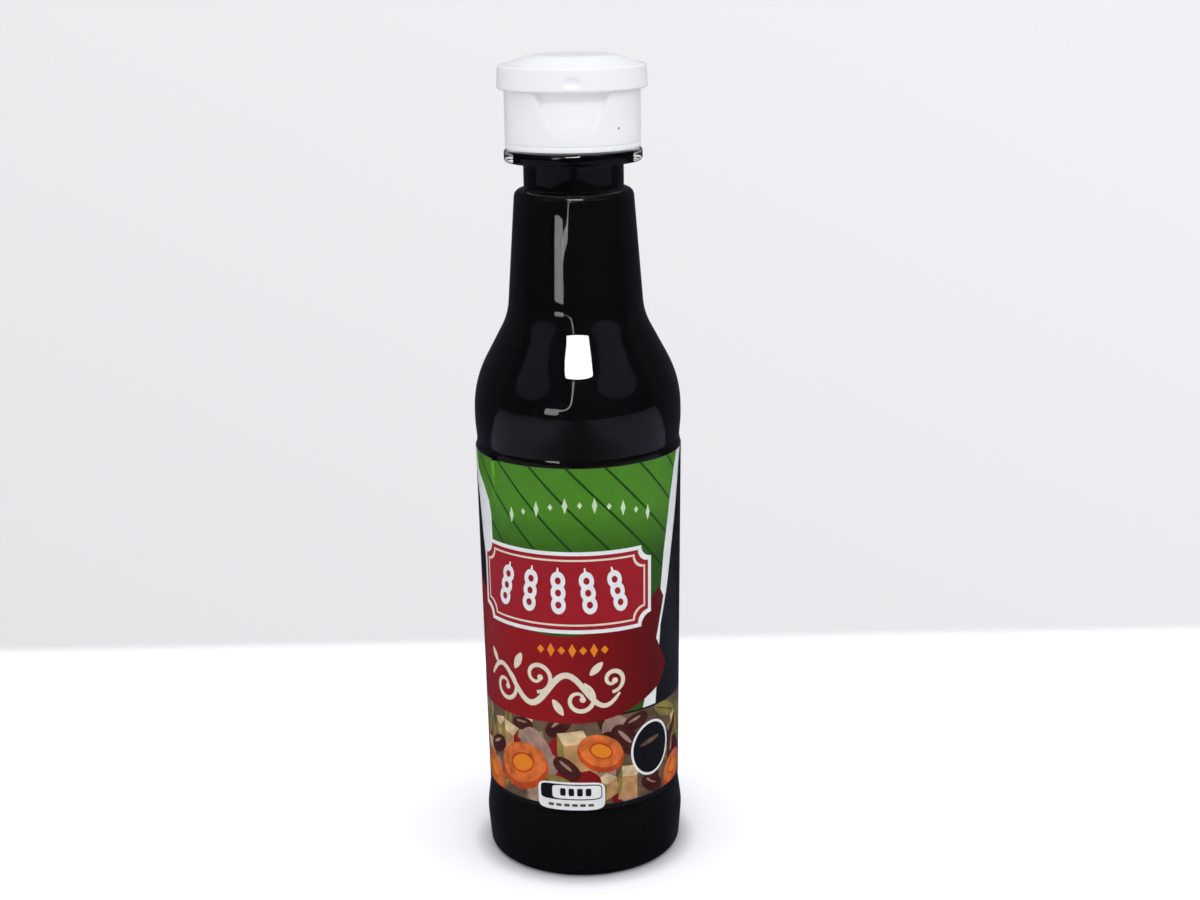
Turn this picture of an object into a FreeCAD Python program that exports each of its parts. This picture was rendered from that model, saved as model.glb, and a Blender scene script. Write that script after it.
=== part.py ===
"""A small sauce bottle: a clear plastic body full of sauce, a wrap-round label and a shut flip-top cap.

The bottle stands on Z = 0 and its axis is Z. The front of the label and of the lid faces -Y.
"""

import FreeCAD, Part
import math
import os

from FreeCAD import Vector

os.makedirs("parts", exist_ok=True)

# Bottle body, from the floor up (millimetres)
body_d = 42.0              # at the shoulder, the widest place
base_inset = 0.2           # each side, from the widest place
foot_inset = 0.7           # each side, from the base down to the floor
heel_round = 1.8
standing_ring_w = 2.0      # flat ring that touches the floor
push_up_h = 3.0            # hollow under the base
push_up_run = 4.0          # width of the slope into that hollow
push_up_round = 2.5
bumper_h = 8.6
bumper_round = 12.0
bumper_run = 6.2           # height over which the bumper narrows to the panel
panel_foot_inset = 1.0
panel_foot_round = 9.0
panel_h = 73.6
panel_top_inset = 0.1
groove_inset = 0.35        # shallow groove between the label and the shoulder
groove_h = 1.3
groove_round = 1.5
shoulder_rise = 3.8
shoulder_band_h = 7.9
shoulder_round = 22.0
slope_h = 13.6             # the shoulder's slope, up to the upper cone
waist_d = 27.5
waist_round = 13.0
cone_h = 25.2
ledge_w = 1.9              # ledge where the cone meets the neck
ledge_round = 1.6
body_wall = 0.55

# Neck
neck_d = 19.9
neck_h = 5.4
neck_wall = 1.2
neck_foot_round = 0.3
ring_overhang = 3.2        # carrying ring, beyond the part that the cap covers
ring_h = 2.4
ring_round = 0.6
finish_step = 0.55         # the part that the cap covers, beyond the neck
finish_h = 10.0

# Sauce: its level above the carrying ring's lower face
sauce_rise = 2.0

# Label
label_t = 0.12
label_margin = 0.3

# Cap
cap_gap = 0.25             # between the carrying ring and the cap
cap_clearance = 0.1        # cap bore over the neck
cap_wall = 2.8
cap_h = 11.3               # up to the shelf that the lid's rim sits on
cap_edge_round = 0.3
foot_band_h = 0.9          # plain band round the cap's lower edge
band_groove_w = 0.35
band_groove_depth = 0.2
deck_rise = 2.6            # closed top of the cap, above the shelf
deck_t = 1.2
deck_round = 0.4
recess_w = 15.4            # finger recess under the front of the lid
recess_foot_w = 8.0
recess_h = 8.0
recess_depth = 1.4

# Lid
lid_seam = 0.12
lid_overhang = 1.45
lid_rim_lean = 0.3         # how far the rim leans in towards its top
lid_rim_h = 4.7
lid_rim_round = 0.6
brim_w = 1.3               # flat top of the rim, outside the raised middle
dome_h = 1.8
dome_run = 4.75
dome_round = 6.0
lid_t = 1.3
lid_clearance = 0.1
notch_rise = 1.9           # small thumb notch in the front of the rim
notch_r = 3.0
notch_depth = 0.45

# Hinge block at the back of the cap, under the lid's rim
hinge_w = 9.0
hinge_h = 2.2
hinge_setback = 0.25       # how far it stays inside the rim


def offset_corners(corners, inset):
    """Move an open rounded outline inwards, to its left, keeping the two outlines parallel."""
    lines = []
    for (r0, z0, _), (r1, z1, _) in zip(corners, corners[1:]):
        run = math.hypot(r1 - r0, z1 - z0)
        nr = -(z1 - z0) / run
        nz = (r1 - r0) / run
        lines.append((r0 + nr * inset, z0 + nz * inset, (r1 - r0) / run, (z1 - z0) / run))
    moved = [(lines[0][0], lines[0][1], 0.0)]
    for (r0, z0, dr0, dz0), (r1, z1, dr1, dz1), corner in zip(lines, lines[1:], corners[1:]):
        turn = dr0 * dz1 - dz0 * dr1
        along = ((r1 - r0) * dz1 - (z1 - z0) * dr1) / turn
        inside = -inset if turn > 0 else inset
        round_r = max(corner[2] + inside, 0.0) if corner[2] else 0.0
        moved.append((r0 + dr0 * along, z0 + dz0 * along, round_r))
    last = lines[-1]
    end_r, end_z, _ = corners[-1]
    along = (end_r - last[0]) * last[2] + (end_z - last[1]) * last[3]
    moved.append((last[0] + last[2] * along, last[1] + last[3] * along, 0.0))
    return moved


def rounded_edges(corners):
    """Lines and tangent arcs through an open list of (radius, height, rounding)."""
    edges = []
    start = Vector(corners[0][0], 0, corners[0][1])
    for before, corner, after in zip(corners, corners[1:], corners[2:]):
        point = Vector(corner[0], 0, corner[1])
        back = (Vector(before[0], 0, before[1]) - point).normalize()
        ahead = (Vector(after[0], 0, after[1]) - point).normalize()
        half = back.getAngle(ahead) / 2
        reach = corner[2] / math.tan(half)
        arc_in = point + back * reach
        arc_out = point + ahead * reach
        if arc_in.distanceToPoint(start) > 1e-6:
            edges.append(Part.makeLine(start, arc_in))
        if corner[2] > 0:
            bisector = (back + ahead).normalize()
            middle = point + bisector * (corner[2] / math.sin(half) - corner[2])
            edges.append(Part.Arc(arc_in, middle, arc_out).toShape())
        start = arc_out
    end = Vector(corners[-1][0], 0, corners[-1][1])
    edges.append(Part.makeLine(start, end))
    return edges


def turned(corners):
    """Solid of revolution about Z under a closed rounded outline."""
    edges = rounded_edges(corners)
    first = Vector(corners[0][0], 0, corners[0][1])
    last = Vector(corners[-1][0], 0, corners[-1][1])
    if first.distanceToPoint(last) > 1e-6:
        edges.append(Part.makeLine(last, first))
    face = Part.Face(Part.Wire(edges))
    return face.revolve(Vector(0, 0, 0), Vector(0, 0, 1), 360)


def ring_solid(inner_r, outer_r, low_z, high_z):
    """Plain square-edged ring."""
    outer = Part.makeCylinder(outer_r, high_z - low_z, Vector(0, 0, low_z))
    inner = Part.makeCylinder(inner_r, high_z - low_z, Vector(0, 0, low_z))
    return outer.cut(inner)


# Heights that follow from the driving dimensions
panel_foot_z = bumper_h + bumper_run
panel_top_z = panel_foot_z + panel_h
groove_z = panel_top_z + groove_h
shoulder_z = groove_z + shoulder_rise
slope_z = shoulder_z + shoulder_band_h
waist_z = slope_z + slope_h
ledge_z = waist_z + cone_h
ring_z = ledge_z + neck_h
ring_top_z = ring_z + ring_h
finish_z = ring_top_z + finish_h
sauce_z = ring_z + sauce_rise
cap_z = ring_top_z + cap_gap
shelf_z = cap_z + cap_h
deck_z = shelf_z + deck_rise
lid_z = shelf_z + lid_seam
lid_brim_z = lid_z + lid_rim_h
lid_top_z = lid_brim_z + dome_h

# Radii that follow from them
body_r = body_d / 2
base_r = body_r - base_inset
foot_r = base_r - foot_inset
panel_foot_r = body_r - panel_foot_inset
panel_top_r = body_r - panel_top_inset
neck_r = neck_d / 2
bore_r = neck_r - neck_wall
finish_r = neck_r + finish_step
ring_r = finish_r + ring_overhang
cap_bore_r = finish_r + cap_clearance
cap_r = cap_bore_r + cap_wall
lid_foot_r = cap_r + lid_overhang
lid_rim_r = lid_foot_r - lid_rim_lean
dome_foot_r = lid_rim_r - brim_w
lid_bore_r = dome_foot_r - lid_t
deck_r = lid_bore_r - lid_clearance


def body_outline():
    """Outer corners of the bottle, from the middle of the base up to the neck's foot."""
    standing_r = foot_r - heel_round - standing_ring_w
    return [
        (0.0, push_up_h, 0.0),
        (standing_r - push_up_run, push_up_h, push_up_round),
        (standing_r, 0.0, push_up_round),
        (foot_r, 0.0, heel_round),
        (base_r, bumper_h, bumper_round),
        (panel_foot_r, panel_foot_z, panel_foot_round),
        (panel_top_r, panel_top_z, 0.0),
        (body_r - groove_inset, groove_z, groove_round),
        (body_r, shoulder_z, shoulder_round),
        (body_r, slope_z, shoulder_round),
        (waist_d / 2, waist_z, waist_round),
        (neck_r + ledge_w, ledge_z, ledge_round),
        (neck_r, ledge_z, 0.0),
    ]


def cavity():
    """Everything inside the bottle's wall, up to the open end of the neck."""
    inner = offset_corners(body_outline(), body_wall)
    inner[-1] = (bore_r, inner[-1][1], 0.0)
    inner += [(bore_r, finish_z, 0.0), (0.0, finish_z, 0.0)]
    return turned(inner)


def make_bottle():
    """Clear blown body with its neck and carrying ring, all one wall."""
    outer = body_outline()[:-1]
    outer += [
        (neck_r, ledge_z, neck_foot_round),
        (neck_r, ring_z, neck_foot_round),
        (ring_r, ring_z, ring_round),
        (ring_r, ring_top_z, ring_round),
        (finish_r, ring_top_z, 0.0),
        (finish_r, finish_z, 0.0),
        (0.0, finish_z, 0.0),
    ]
    return turned(outer).cut(cavity())


def make_sauce():
    """The drink, filling the cavity up to its level in the neck."""
    above = Part.makeCylinder(body_d, finish_z, Vector(0, 0, sauce_z))
    return cavity().cut(above)


def make_label():
    """Thin sleeve wrapped round the panel."""
    slant = (panel_top_r - panel_foot_r) / panel_h
    low_z = panel_foot_z + panel_foot_round * slant + label_margin
    high_z = panel_top_z - label_margin
    low_r = panel_foot_r + slant * (low_z - panel_foot_z)
    high_r = panel_foot_r + slant * (high_z - panel_foot_z)
    sleeve = Part.makeCone(low_r + label_t, high_r + label_t, high_z - low_z, Vector(0, 0, low_z))
    panel = Part.makeCone(low_r, high_r, high_z - low_z, Vector(0, 0, low_z))
    return sleeve.cut(panel)


def recess_tool():
    """Finger recess: deepest under the lid, narrowing and fading out downwards."""
    low_z = shelf_z - recess_h
    corners = [
        Vector(-recess_w / 2, -cap_r * 2, shelf_z),
        Vector(recess_w / 2, -cap_r * 2, shelf_z),
        Vector(recess_foot_w / 2, -cap_r * 2, low_z),
        Vector(-recess_foot_w / 2, -cap_r * 2, low_z),
    ]
    outline = Part.Face(Part.makePolygon(corners + corners[:1]))
    prism = outline.extrude(Vector(0, cap_r * 2, 0))
    floor = Part.makeCone(cap_r, cap_r - recess_depth, recess_h, Vector(0, 0, low_z))
    return prism.cut(floor)


def make_hinge():
    """Block at the back that carries the lid's rim on the cap."""
    low_z = shelf_z - hinge_h
    block = Part.makeBox(hinge_w, lid_foot_r, lid_z - low_z, Vector(-hinge_w / 2, 0, low_z))
    return block.common(ring_solid(deck_r, lid_foot_r - hinge_setback, low_z, lid_z))


def make_cap():
    """Closed cap: skirt over the neck, shelf for the lid, deck, and the finger recess."""
    cap = turned([
        (cap_bore_r, cap_z, 0.0),
        (cap_r, cap_z, cap_edge_round),
        (cap_r, shelf_z, 0.0),
        (deck_r, shelf_z, 0.0),
        (deck_r, deck_z, deck_round),
        (0.0, deck_z, 0.0),
        (0.0, deck_z - deck_t, 0.0),
        (cap_bore_r, deck_z - deck_t, 0.0),
        (cap_bore_r, cap_z, 0.0),
    ])
    groove_low_z = cap_z + foot_band_h
    groove = ring_solid(cap_r - band_groove_depth, cap_r * 2, groove_low_z, groove_low_z + band_groove_w)
    return cap.cut(groove).cut(recess_tool()).fuse(make_hinge())


def make_lid():
    """Shut lid: an overhanging rim, a raised middle and a small thumb notch in front."""
    lid = turned([
        (lid_bore_r, lid_z, 0.0),
        (lid_foot_r, lid_z, lid_rim_round),
        (lid_rim_r, lid_brim_z, lid_rim_round),
        (dome_foot_r, lid_brim_z, 0.0),
        (dome_foot_r - dome_run, lid_top_z, dome_round),
        (0.0, lid_top_z, 0.0),
        (0.0, lid_top_z - lid_t, 0.0),
        (lid_bore_r, lid_brim_z - lid_t, 0.0),
        (lid_bore_r, lid_z, 0.0),
    ])
    notch_y = -lid_foot_r - notch_r + notch_depth
    notch = Part.makeSphere(notch_r, Vector(0, notch_y, lid_z + notch_rise))
    return lid.cut(notch)


nodes = {
    "bottle": make_bottle(),
    "sauce": make_sauce(),
    "label": make_label(),
    "cap": make_cap(),
    "cap_lid": make_lid(),
}

for name, shape in nodes.items():
    solid = shape.Solids[0]
    print(name, len(shape.Solids), "solid", round(solid.Volume / 1000, 3), "cm3", shape.BoundBox)
    solid.exportStep("parts/" + name + ".step")
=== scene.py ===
import math

import bmesh
import bpy
from mathutils import Matrix, Vector, geometry


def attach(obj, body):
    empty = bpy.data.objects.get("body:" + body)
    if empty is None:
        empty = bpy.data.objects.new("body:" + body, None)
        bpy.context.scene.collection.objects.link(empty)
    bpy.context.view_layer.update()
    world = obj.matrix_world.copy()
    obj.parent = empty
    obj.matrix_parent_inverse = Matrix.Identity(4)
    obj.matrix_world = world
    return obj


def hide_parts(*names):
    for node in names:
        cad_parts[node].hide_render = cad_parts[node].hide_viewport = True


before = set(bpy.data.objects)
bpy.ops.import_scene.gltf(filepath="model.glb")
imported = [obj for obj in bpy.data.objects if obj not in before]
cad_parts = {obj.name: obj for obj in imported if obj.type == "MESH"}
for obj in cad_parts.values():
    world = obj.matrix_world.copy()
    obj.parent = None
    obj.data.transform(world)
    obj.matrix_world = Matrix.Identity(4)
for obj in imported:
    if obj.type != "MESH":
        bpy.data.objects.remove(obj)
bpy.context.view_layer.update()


# ---- Bottle: blown clear plastic -------------------------------------------------------------
# The bottle is one thin clear wall: a hollow base, a bumper round the foot, a straight panel for the
# label, a round shoulder, a long upper cone and a neck with a carrying ring. It is turned from one
# outline, given as corners (radius, height, rounding).
MM = 0.001
body_r = 21.0
base_r = 20.8
foot_r = 20.1
heel_round = 1.8
panel_foot_r = 20.0
panel_foot_z = 14.8
panel_top_r = 20.9
panel_top_z = 88.4
groove_r = 20.65
shoulder_z = 93.5
slope_z = 101.4
waist_z = 115.0
ledge_z = 140.2
neck_r = 9.95
bore_r = 8.75
ring_z = 145.6
ring_top_z = 148.0
ring_r = 13.7
finish_r = 10.5
finish_z = 158.0
body_wall = 0.55
weld_m = 2e-6

body_corners = [
    (0.0, 3.0, 0.0),
    (foot_r - heel_round - 6.0, 3.0, 2.5),
    (foot_r - heel_round - 2.0, 0.0, 2.5),
    (foot_r, 0.0, heel_round),
    (base_r, 8.6, 12.0),
    (panel_foot_r, panel_foot_z, 9.0),
    (panel_top_r, panel_top_z, 0.0),
    (groove_r, panel_top_z + 1.3, 1.5),
    (body_r, shoulder_z, 22.0),
    (body_r, slope_z, 22.0),
    (13.75, waist_z, 13.0),
    (neck_r + 1.9, ledge_z, 1.6),
    (neck_r, ledge_z, 0.0),
]
neck_corners = [
    (neck_r, ledge_z, 0.3),
    (neck_r, ring_z, 0.3),
    (ring_r, ring_z, 0.6),
    (ring_r, ring_top_z, 0.6),
    (finish_r, ring_top_z, 0.1),
    (finish_r, finish_z, 0.2),
    (bore_r, finish_z, 0.2),
]


def offset_corners(corners, inset):
    """Move an open rounded outline inwards, to its left, so that both outlines stay parallel."""
    lines = []
    for (r0, z0, _), (r1, z1, _) in zip(corners, corners[1:]):
        run = math.hypot(r1 - r0, z1 - z0)
        dr, dz = (r1 - r0) / run, (z1 - z0) / run
        lines.append((r0 - dz * inset, z0 + dr * inset, dr, dz))
    moved = [(lines[0][0], lines[0][1], 0.0)]
    for (r0, z0, dr0, dz0), (r1, z1, dr1, dz1), corner in zip(lines, lines[1:], corners[1:]):
        turn = dr0 * dz1 - dz0 * dr1
        along = ((r1 - r0) * dz1 - (z1 - z0) * dr1) / turn
        inside = -inset if turn > 0 else inset
        rounding = max(corner[2] + inside, 0.0) if corner[2] else 0.0
        moved.append((r0 + dr0 * along, z0 + dz0 * along, rounding))
    moved.append((corners[-1][0], moved[-1][1], 0.0))
    return moved


def add_nodes(tree, *kinds):
    return [tree.nodes.new(kind) for kind in kinds]


def feed(tree, socket, value):
    """Link a socket from another node's output, or set it to a plain value."""
    if isinstance(value, bpy.types.NodeSocket):
        tree.links.new(value, socket)
    else:
        socket.default_value = value


def calc(tree, operation, *values, kind="ShaderNodeMath"):
    """Output of a Math or Vector Math node, whose values are numbers or other nodes' outputs."""
    node = tree.nodes.new(kind)
    node.operation = operation
    for socket, value in zip([s for s in node.inputs if s.enabled], values):
        feed(tree, socket, value)
    return next(s for s in node.outputs if s.enabled)


def turning_tree():
    """Geometry Nodes: round an outline's corners, then turn it about Z into a closed skin."""
    tree = bpy.data.node_groups.new("Turned wall", "GeometryNodeTree")
    face = tree.interface
    face.new_socket("Outline", in_out="INPUT", socket_type="NodeSocketGeometry")
    face.new_socket("Arc Steps", in_out="INPUT", socket_type="NodeSocketInt")
    face.new_socket("Turn Steps", in_out="INPUT", socket_type="NodeSocketInt")
    face.new_socket("Material", in_out="INPUT", socket_type="NodeSocketMaterial")
    face.new_socket("Wall", in_out="OUTPUT", socket_type="NodeSocketGeometry")
    source, out = add_nodes(tree, "NodeGroupInput", "NodeGroupOutput")
    link = tree.links.new

    curve, rounding, fillet, points = add_nodes(
        tree, "GeometryNodeMeshToCurve", "GeometryNodeInputNamedAttribute",
        "GeometryNodeFilletCurve", "GeometryNodeCurveToPoints")
    rounding.data_type = "FLOAT"
    rounding.inputs["Name"].default_value = "rounding"
    fillet.mode = "POLY"
    points.mode = "EVALUATED"
    link(source.outputs["Outline"], curve.inputs[0])
    link(curve.outputs[0], fillet.inputs["Curve"])
    link(rounding.outputs["Attribute"], fillet.inputs["Radius"])
    link(source.outputs["Arc Steps"], fillet.inputs["Count"])
    link(fillet.outputs[0], points.inputs["Curve"])

    size, grid, place, split = add_nodes(
        tree, "GeometryNodeAttributeDomainSize", "GeometryNodeMeshGrid",
        "GeometryNodeInputPosition", "ShaderNodeSeparateXYZ")
    size.component = "POINTCLOUD"
    link(points.outputs["Points"], size.inputs[0])

    rows = size.outputs["Point Count"]
    steps = source.outputs["Turn Steps"]
    last_row = calc(tree, "SUBTRACT", rows, 1)
    link(rows, grid.inputs["Vertices X"])
    link(calc(tree, "ADD", steps, 1), grid.inputs["Vertices Y"])
    link(last_row, grid.inputs["Size X"])
    link(steps, grid.inputs["Size Y"])
    link(place.outputs[0], split.inputs[0])
    half_rows = calc(tree, "DIVIDE", last_row, 2)
    row = calc(tree, "ROUND", calc(tree, "ADD", split.outputs["X"], half_rows))
    turn = calc(tree, "DIVIDE", calc(tree, "MULTIPLY", split.outputs["Y"], 2 * math.pi), steps)

    spot, here, corner, ring, put = add_nodes(
        tree, "GeometryNodeInputPosition", "GeometryNodeSampleIndex", "ShaderNodeSeparateXYZ",
        "ShaderNodeCombineXYZ", "GeometryNodeSetPosition")
    here.data_type = "FLOAT_VECTOR"
    link(points.outputs["Points"], here.inputs["Geometry"])
    link(spot.outputs[0], here.inputs["Value"])
    link(row, here.inputs["Index"])
    link(here.outputs[0], corner.inputs[0])
    link(calc(tree, "MULTIPLY", corner.outputs["X"], calc(tree, "COSINE", turn)), ring.inputs["X"])
    link(calc(tree, "MULTIPLY", corner.outputs["X"], calc(tree, "SINE", turn)), ring.inputs["Y"])
    link(corner.outputs["Z"], ring.inputs["Z"])
    link(grid.outputs["Mesh"], put.inputs["Geometry"])
    link(ring.outputs[0], put.inputs["Position"])

    merge, realize, paint = add_nodes(
        tree, "GeometryNodeMergeByDistance", "GeometryNodeRealizeInstances", "GeometryNodeSetMaterial")
    merge.inputs["Distance"].default_value = weld_m
    link(put.outputs[0], merge.inputs["Geometry"])
    link(merge.outputs[0], realize.inputs[0])
    link(realize.outputs[0], paint.inputs["Geometry"])
    link(source.outputs["Material"], paint.inputs["Material"])
    link(paint.outputs[0], out.inputs["Wall"])
    return tree


turned_wall = turning_tree()


def turn_piece(name, corners, material, arc_steps=10, turn_steps=192, sharp=35.0):
    """Mesh object turned from corners in millimetres, its faces pointing outwards."""
    outline = bpy.data.meshes.new(name)
    links = [(i, i + 1) for i in range(len(corners) - 1)]
    outline.from_pydata([(r * MM, 0, z * MM) for r, z, _ in corners], links, [])
    rounding = outline.attributes.new("rounding", "FLOAT", "POINT")
    rounding.data.foreach_set("value", [corner[2] * MM for corner in corners])
    obj = bpy.data.objects.new(name, outline)
    bpy.context.scene.collection.objects.link(obj)
    lathe = obj.modifiers.new("lathe", "NODES")
    lathe.node_group = turned_wall
    values = {"Arc Steps": arc_steps, "Turn Steps": turn_steps, "Material": material}
    for item in turned_wall.interface.items_tree:
        if item.in_out == "INPUT" and item.name in values:
            lathe[item.identifier] = values[item.name]
    return plain_mesh(obj, sharp)


def plain_mesh(obj, sharp=35.0):
    """Turn a piece's modifiers into its own mesh, with outward faces and smooth rounded parts."""
    evaluated = obj.evaluated_get(bpy.context.evaluated_depsgraph_get())
    mesh = bpy.data.meshes.new_from_object(evaluated)
    obj.modifiers.clear()
    obj.data = mesh
    work = bmesh.new()
    work.from_mesh(mesh)
    bmesh.ops.remove_doubles(work, verts=work.verts, dist=weld_m)
    bmesh.ops.dissolve_degenerate(work, edges=work.edges, dist=1e-7)
    bmesh.ops.recalc_face_normals(work, faces=work.faces)
    work.to_mesh(mesh)
    work.free()
    mesh.shade_smooth()
    mesh.set_sharp_from_angle(angle=math.radians(sharp))
    return obj


def new_material(name, **sockets):
    """A material with one Principled BSDF whose named sockets hold plain values."""
    material = bpy.data.materials.new(name)
    material.use_nodes = True
    surface = material.node_tree.nodes["Principled BSDF"]
    for socket, value in sockets.items():
        surface.inputs[socket.replace("_", " ")].default_value = value
    return material


def surface_wave_group():
    """Shader group: slow waves of a moulded or liquid-smooth surface, as a bump height."""
    tree = bpy.data.node_groups.new("Moulded wave", "ShaderNodeTree")
    for name in ("Scale", "Fine Share"):
        tree.interface.new_socket(name, in_out="INPUT", socket_type="NodeSocketFloat")
    tree.interface.new_socket("Height", in_out="OUTPUT", socket_type="NodeSocketFloat")
    source, out, coords, slow, fine, mix = add_nodes(
        tree, "NodeGroupInput", "NodeGroupOutput", "ShaderNodeTexCoord", "ShaderNodeTexNoise",
        "ShaderNodeTexNoise", "ShaderNodeMix")
    link = tree.links.new
    slow_scale = source.outputs["Scale"]
    fine_scale = calc(tree, "MULTIPLY", slow_scale, 9.0)
    for texture, scale in ((slow, slow_scale), (fine, fine_scale)):
        texture.inputs["Detail"].default_value = 2.0
        link(coords.outputs["Object"], texture.inputs["Vector"])
        link(scale, texture.inputs["Scale"])
    link(source.outputs["Fine Share"], mix.inputs["Factor"])
    link(slow.outputs["Fac"], mix.inputs["A"])
    link(fine.outputs["Fac"], mix.inputs["B"])
    link(mix.outputs["Result"], out.inputs["Height"])
    return tree


moulded_wave = surface_wave_group()


def add_wave(material, scale, fine_share, distance, strength):
    """Put the moulded wave on a material's normal."""
    tree = material.node_tree
    wave, bump = add_nodes(tree, "ShaderNodeGroup", "ShaderNodeBump")
    wave.node_tree = moulded_wave
    wave.inputs["Scale"].default_value = scale
    wave.inputs["Fine Share"].default_value = fine_share
    bump.inputs["Distance"].default_value = distance
    bump.inputs["Strength"].default_value = strength
    tree.links.new(wave.outputs["Height"], bump.inputs["Height"])
    tree.links.new(bump.outputs[0], tree.nodes["Principled BSDF"].inputs["Normal"])


clear_plastic = new_material(
    "clear plastic", Base_Color=(0.95, 0.97, 0.97, 1.0), Roughness=0.015, IOR=1.34,
    Transmission_Weight=1.0)
add_wave(clear_plastic, 45.0, 0.0, 0.0002, 0.2)

inner_corners = offset_corners(body_corners, body_wall)
inner_corners[-1] = (bore_r, inner_corners[-1][1], 0.6)
wall_corners = body_corners[:-1] + neck_corners + inner_corners[::-1]
bottle = turn_piece("bottle_wall", wall_corners, clear_plastic)
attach(bottle, "root")
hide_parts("bottle")


# ---- Sauce -----------------------------------------------------------------------------------
# The bottle is full of a sauce that is all but black. Its skin lies a little way into the plastic
# wall, so that no air shows between the two, and its level is inside the carrying ring.
sauce_overlap = 0.12
sauce_z = ring_z + 2.0

sauce_black = new_material(
    "dark sauce", Base_Color=(0.0030, 0.0026, 0.0030, 1.0), Roughness=0.25, IOR=1.36,
    Specular_IOR_Level=0.0)
add_wave(sauce_black, 40.0, 0.2, 0.0001, 0.1)

sauce_corners = offset_corners(body_corners, body_wall - sauce_overlap)
sauce_neck_r = bore_r + sauce_overlap
sauce_corners[-1] = (sauce_neck_r, sauce_corners[-1][1], 0.6)
sauce_corners += [(sauce_neck_r, sauce_z, 0.0), (0.0, sauce_z, 0.0)]
sauce = turn_piece("sauce_fill", sauce_corners, sauce_black)
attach(sauce, "root")
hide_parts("sauce")


# ---- Cap -------------------------------------------------------------------------------------
# The cap is one white moulding: a skirt over the neck with a plain band at its foot, a shelf for the
# lid, and a finger recess in front that is deepest under the lid and fades out downwards.
cap_z = ring_top_z + 0.25
cap_r = 13.4
cap_bore_r = 10.6
shelf_z = cap_z + 11.3
deck_r = 11.85
deck_z = shelf_z + 2.6
band_z = cap_z + 0.9
band_w = 0.35
recess_w = 15.4
recess_foot_w = 8.0
recess_h = 8.0
recess_depth = 1.4
recess_edge = 0.35
row_step = 0.24
deck_t = 1.2
hinge_w = 9.0
hinge_h = 2.2
hinge_out = 1.2
lid_gap = 0.12


def with_rows(corners, low_z, high_z, step):
    """Put extra plain corners on the upright run between two heights, so that it can be pressed in."""
    rows = []
    for (r0, z0, round0), (r1, z1, _) in zip(corners, corners[1:]):
        rows.append((r0, z0, round0))
        if abs(r1 - r0) < 0.5 and abs(z1 - z0) > 3 * step:
            count = int(abs(z1 - z0) / step)
            for i in range(2, count - 1):
                z = z0 + (z1 - z0) * i / count
                if low_z <= z <= high_z:
                    rows.append((r0 + (r1 - r0) * i / count, z, 0.0))
    rows.append(corners[-1])
    return rows


def smooth_step(low, high, value):
    t = min(max((value - low) / (high - low), 0.0), 1.0)
    return t * t * (3.0 - 2.0 * t)


def press_front(obj, nominal_r, depth_at):
    """Move the skin at the front inwards by a depth worked out from arc length and height."""
    for vertex in obj.data.vertices:
        x, y, z = vertex.co / MM
        r = math.hypot(x, y)
        if y < 0 and r > nominal_r - 0.6:
            depth = depth_at(math.atan2(x, -y) * nominal_r, z)
            if depth > 0:
                vertex.co.x *= (r - depth) / r
                vertex.co.y *= (r - depth) / r
    obj.data.update()


def recess_at(arc, z):
    share = (shelf_z - z) / recess_h
    if not 0.0 <= share <= 1.05:
        return 0.0
    half = (recess_w + (recess_foot_w - recess_w) * share) / 2
    inside = 1.0 - smooth_step(half - recess_edge, half + recess_edge, abs(arc))
    return recess_depth * smooth_step(1.05, 0.0, share) * inside


white_plastic = new_material(
    "white plastic", Base_Color=(0.915, 0.925, 0.945, 1.0), Roughness=0.42, Specular_IOR_Level=0.14)
add_wave(white_plastic, 150.0, 0.5, 0.0001, 0.12)


def ramp(tree, value, low, high, at_low=0.0, at_high=1.0, smooth=False):
    """Output that goes from one number to another as a value goes from low to high."""
    node = tree.nodes.new("ShaderNodeMapRange")
    node.interpolation_type = "SMOOTHSTEP" if smooth else "LINEAR"
    names = ("Value", "From Min", "From Max", "To Min", "To Max")
    for name, part in zip(names, (value, low, high, at_low, at_high)):
        feed(tree, node.inputs[name], part)
    return node.outputs[0]


def mix_colours(tree, share, first, second):
    node = tree.nodes.new("ShaderNodeMix")
    node.data_type = "RGBA"
    for name, part in (("Factor", share), ("A", first), ("B", second)):
        feed(tree, node.inputs[name], part)
    return node.outputs["Result"]


def add_speck(material, centre, radius, colour):
    """A tiny dark speck on a material, round one point of the piece."""
    tree = material.node_tree
    coords = tree.nodes.new("ShaderNodeTexCoord")
    surface = tree.nodes["Principled BSDF"]
    reach = calc(tree, "DISTANCE", coords.outputs["Object"], centre, kind="ShaderNodeVectorMath")
    beyond = ramp(tree, reach, radius * 0.6, radius)
    plain = surface.inputs["Base Color"].default_value[:]
    tree.links.new(mix_colours(tree, beyond, colour, plain), surface.inputs["Base Color"])


speck_turn = math.radians(41.0)
speck_place = (cap_r * MM * math.sin(speck_turn), -cap_r * MM * math.cos(speck_turn), 0.1526)
add_speck(white_plastic, speck_place, 0.00028, (0.16, 0.16, 0.17, 1.0))

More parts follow.
